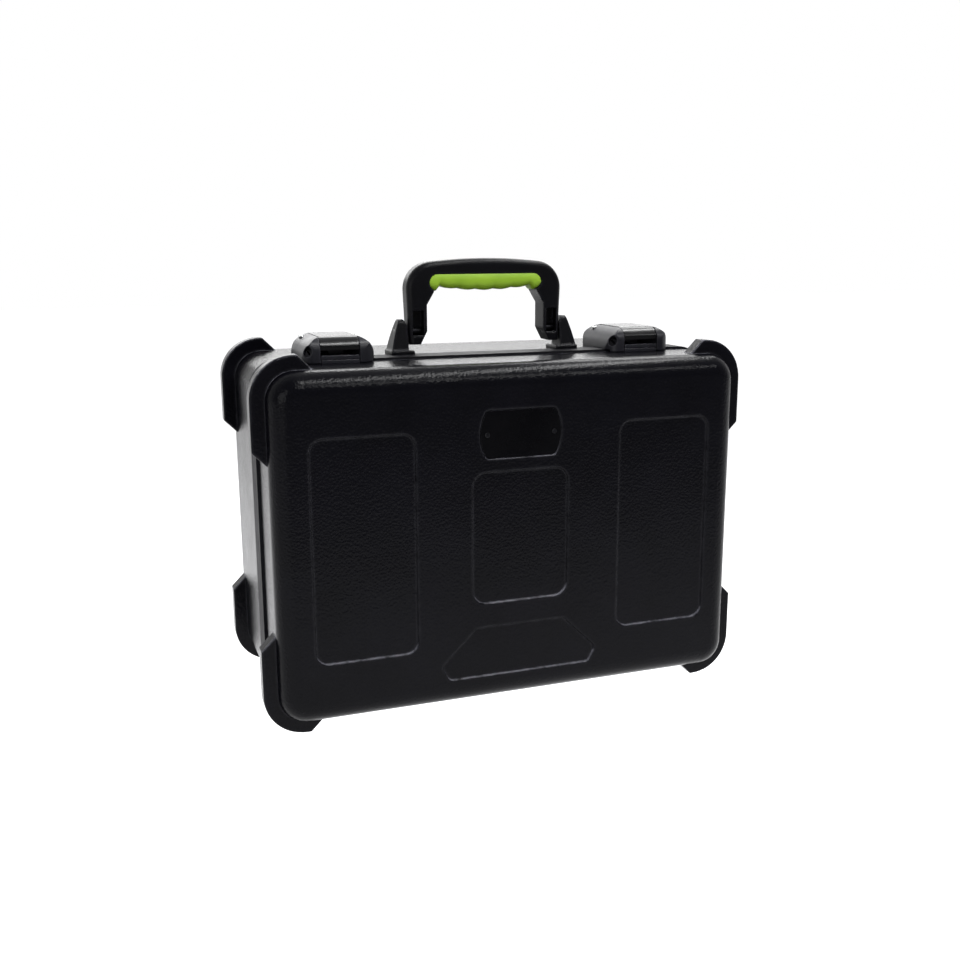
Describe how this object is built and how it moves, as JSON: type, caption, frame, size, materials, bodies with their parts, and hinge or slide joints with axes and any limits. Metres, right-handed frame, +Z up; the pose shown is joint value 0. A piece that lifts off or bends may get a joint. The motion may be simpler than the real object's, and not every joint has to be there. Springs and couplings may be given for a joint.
{
  "type": "microphone case",
  "caption": "Hard upright case with a hinged lid, corner guards, draw latches with locks, a folding handle, and foam with pockets for hand-held microphones.",
  "frame": {"origin": "middle of the case's width and depth, on the surface that its bottom corner guards stand on", "axes": "+X across the width, +Y from the lid's face to the back, +Z up towards the handle"},
  "size_m": [0.444, 0.229, 0.3918],
  "materials": {
    "case_plastic": "moulded polyethylene, near black, fine pebble grain, satin",
    "rim_metal": "extruded aluminium, black powder coat",
    "liner_metal": "extruded aluminium, mill finish",
    "seal_rubber": "black closed-cell seal strip",
    "plate_gloss": "gloss black, bare",
    "foam": "charcoal open-cell foam",
    "handle_plastic": "glass-filled nylon, black, satin",
    "grip_rubber": "soft-touch lime green rubber",
    "latch_plastic": "glass-filled nylon, dark grey, satin",
    "lock_metal": "black-plated zinc",
    "steel": "zinc-plated steel",
    "dark_steel": "black zinc-plated steel"
  },
  "bodies": {
    "case_base": {"base_shell": "case_plastic", "base_rim": "rim_metal", "foam_floor": "foam", "foam_rail_top": "foam", "foam_rail_bottom": "foam", "foam_side_left": "foam", "foam_side_right": "foam", "foam_store_wall": "foam", "foam_strips": "foam", "foam_blocks": "foam", "handle_tower_left": "handle_plastic", "handle_tower_right": "handle_plastic", "handle_pin_left": "steel", "handle_pin_right": "steel", "handle_screws": "steel", "handle_backing_plate": "steel", "latch_housing_left": "latch_plastic", "latch_housing_right": "latch_plastic", "latch_lever_pin_left": "steel", "latch_lever_pin_right": "steel", "latch_rivets": "steel", "latch_backing_plate_left": "steel", "latch_backing_plate_right": "steel", "hinge_base_leaf_left": "dark_steel", "hinge_base_leaf_right": "dark_steel", "hinge_pin_left": "steel", "hinge_pin_right": "steel", "hinge_base_rivets": "steel"},
    "lid": {"lid_shell": "case_plastic", "lid_rim": "liner_metal", "rim_gasket": "seal_rubber", "lid_foam": "foam", "nameplate": "plate_gloss", "nameplate_rivets": "dark_steel", "latch_keeper_left": "latch_plastic", "latch_keeper_right": "latch_plastic", "keeper_rivets": "steel", "hinge_lid_leaf_left": "dark_steel", "hinge_lid_leaf_right": "dark_steel", "hinge_lid_rivets": "steel"},
    "handle": {"handle_frame": "handle_plastic", "handle_grip": "grip_rubber"},
    "lever_left": {"latch_lever_left": "latch_plastic", "latch_claw_pin_left": "steel"},
    "claw_left": {"latch_claw_left": "latch_plastic"},
    "lock_left": {"lock_barrel_left": "lock_metal"},
    "lever_right": {"latch_lever_right": "latch_plastic", "latch_claw_pin_right": "steel"},
    "claw_right": {"latch_claw_right": "latch_plastic"},
    "lock_right": {"lock_barrel_right": "lock_metal"}
  },
  "joints": [
    {"name": "lid_hinge", "type": "hinge", "parent": "case_base", "child": "lid", "pos_m": [0, -0.0485, 0.0062], "axis": [1, 0, 0], "range_deg": [0, 100]},
    {"name": "handle_swing", "type": "hinge", "parent": "case_base", "child": "handle", "pos_m": [0, -0.0195, 0.3285], "axis": [1, 0, 0], "range_deg": [-90, 90]},
    {"name": "latch_lever_left", "type": "hinge", "parent": "case_base", "child": "lever_left", "pos_m": [-0.14, -0.0075, 0.326], "axis": [-1, 0, 0], "range_deg": [0, 80]},
    {"name": "latch_claw_left", "type": "hinge", "parent": "lever_left", "child": "claw_left", "pos_m": [-0.14, -0.0365, 0.318], "axis": [-1, 0, 0], "range_deg": [-40, 0]},
    {"name": "lock_turn_left", "type": "hinge", "parent": "case_base", "child": "lock_left", "pos_m": [-0.16748, -0.05548, 0.3176], "axis": [-0.6124, -0.6124, 0.5], "range_deg": [0, 90]},
    {"name": "latch_lever_right", "type": "hinge", "parent": "case_base", "child": "lever_right", "pos_m": [0.14, -0.0075, 0.326], "axis": [-1, 0, 0], "range_deg": [0, 80]},
    {"name": "latch_claw_right", "type": "hinge", "parent": "lever_right", "child": "claw_right", "pos_m": [0.14, -0.0365, 0.318], "axis": [-1, 0, 0], "range_deg": [-40, 0]},
    {"name": "lock_turn_right", "type": "hinge", "parent": "case_base", "child": "lock_right", "pos_m": [0.11252, -0.05548, 0.3176], "axis": [-0.6124, -0.6124, 0.5], "range_deg": [0, 90]}
  ],
  "couplings": [
    {"joint": "latch_claw_left", "follows": "latch_lever_left", "ratio": -0.5},
    {"joint": "latch_claw_right", "follows": "latch_lever_right", "ratio": -0.5}
  ]
}
